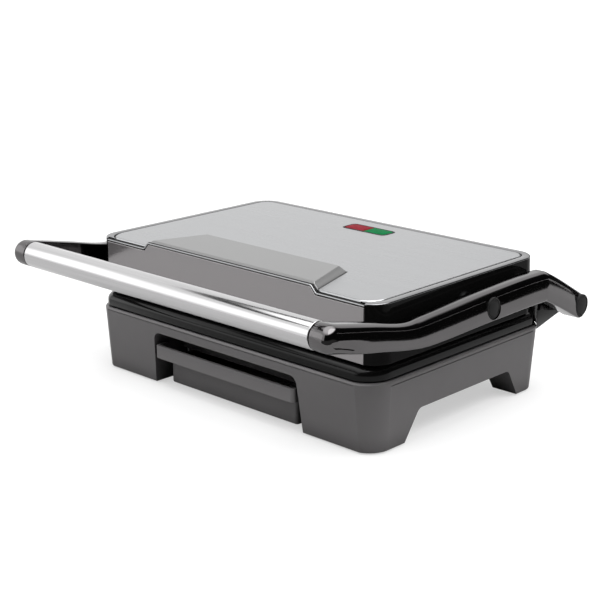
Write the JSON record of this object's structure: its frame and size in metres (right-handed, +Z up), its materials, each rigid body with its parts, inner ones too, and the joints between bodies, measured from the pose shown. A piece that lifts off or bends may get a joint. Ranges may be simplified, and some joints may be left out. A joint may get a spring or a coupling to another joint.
{
  "type": "panini press",
  "caption": "Contact grill with a floating ribbed lid on a U-shaped handle, hinged behind a four-legged base with a front drip tray.",
  "frame": {"origin": "on the table plane, under the middle of the closed press's bounding box, handle included", "axes": "+Z up, +Y towards the rear hinge, -Y towards the handle and the user, X from side to side"},
  "size_m": [0.3018, 0.2687, 0.1016],
  "materials": {
    "base_shell": "satin warm grey moulding",
    "gloss_black": "high gloss black",
    "arm_gloss": "gloss charcoal",
    "panel_paint": "satin grey paint",
    "crest_paint": "satin silver-grey paint",
    "brushed_steel": "fine brushing from side to side",
    "tube_steel": "brushed along the tube",
    "cap_matte": "fine matte",
    "nonstick": "dark non-stick coating on cast aluminium",
    "heater_steel": "heat-tinted sheath",
    "reflector": "bright pressed sheet",
    "zinc": "zinc-plated steel",
    "ceramic": "cream steatite",
    "rubber": "matte black",
    "tray_shell": "satin dark grey moulding",
    "red_lens": "translucent red",
    "green_lens": "translucent green",
    "lamp_glass": "clear glass"
  },
  "bodies": {
    "base": {"base_housing": "base_shell", "base_rim": "gloss_black", "bottom_cover": "base_shell", "cord_inlet_bushing": "rubber", "cover_screw_front_left": "zinc", "cover_screw_front_right": "zinc", "cover_screw_rear_left": "zinc", "cover_screw_rear_right": "zinc", "foot_pad_front_left": "rubber", "foot_pad_front_right": "rubber", "foot_pad_rear_left": "rubber", "foot_pad_rear_right": "rubber", "hinge_ear_left": "gloss_black", "hinge_ear_right": "gloss_black", "hinge_pin_left": "zinc", "hinge_pin_right": "zinc", "lower_grill_plate": "nonstick", "lower_heating_element": "heater_steel", "lower_reflector": "reflector", "lower_thermostat": "ceramic", "thermal_fuse": "zinc", "terminal_block": "ceramic", "tray_rail_left": "zinc", "tray_rail_right": "zinc"},
    "handle": {"handle_arm_left": "arm_gloss", "handle_arm_right": "arm_gloss", "handle_tube": "tube_steel", "handle_tie_rod": "zinc", "hinge_cap_left": "cap_matte", "hinge_cap_right": "cap_matte", "pivot_cap_left": "cap_matte", "pivot_cap_right": "cap_matte"},
    "lid": {"lid_housing": "gloss_black", "lid_bottom_frame": "gloss_black", "lid_front_panel": "panel_paint", "lid_crest": "crest_paint", "steel_top_plate": "brushed_steel", "indicator_bezel": "cap_matte", "red_lens": "red_lens", "green_lens": "green_lens", "neon_lamp_red": "lamp_glass", "neon_lamp_green": "lamp_glass", "upper_grill_plate": "nonstick", "upper_heating_element": "heater_steel", "upper_reflector": "reflector", "upper_thermostat": "ceramic", "lid_pivot_pin_left": "zinc", "lid_pivot_pin_right": "zinc"},
    "tray": {"drip_tray": "tray_shell"}
  },
  "joints": [
    {"name": "handle_hinge", "type": "hinge", "parent": "base", "child": "handle", "pos_m": [0, 0.1254, 0.0593], "axis": [-1, 0, 0], "range_deg": [0, 180]},
    {"name": "lid_tilt", "type": "hinge", "parent": "handle", "child": "lid", "pos_m": [0, 0.0214, 0.0798], "axis": [-1, 0, 0], "range_deg": [0, 10]},
    {"name": "tray_slide", "type": "slide", "parent": "base", "child": "tray", "axis": [0, -1, 0], "range_m": [0, 0.095]}
  ],
  "couplings": [
    {"joint": "lid_tilt", "follows": "handle_hinge", "ratio": 0.0555}
  ]
}
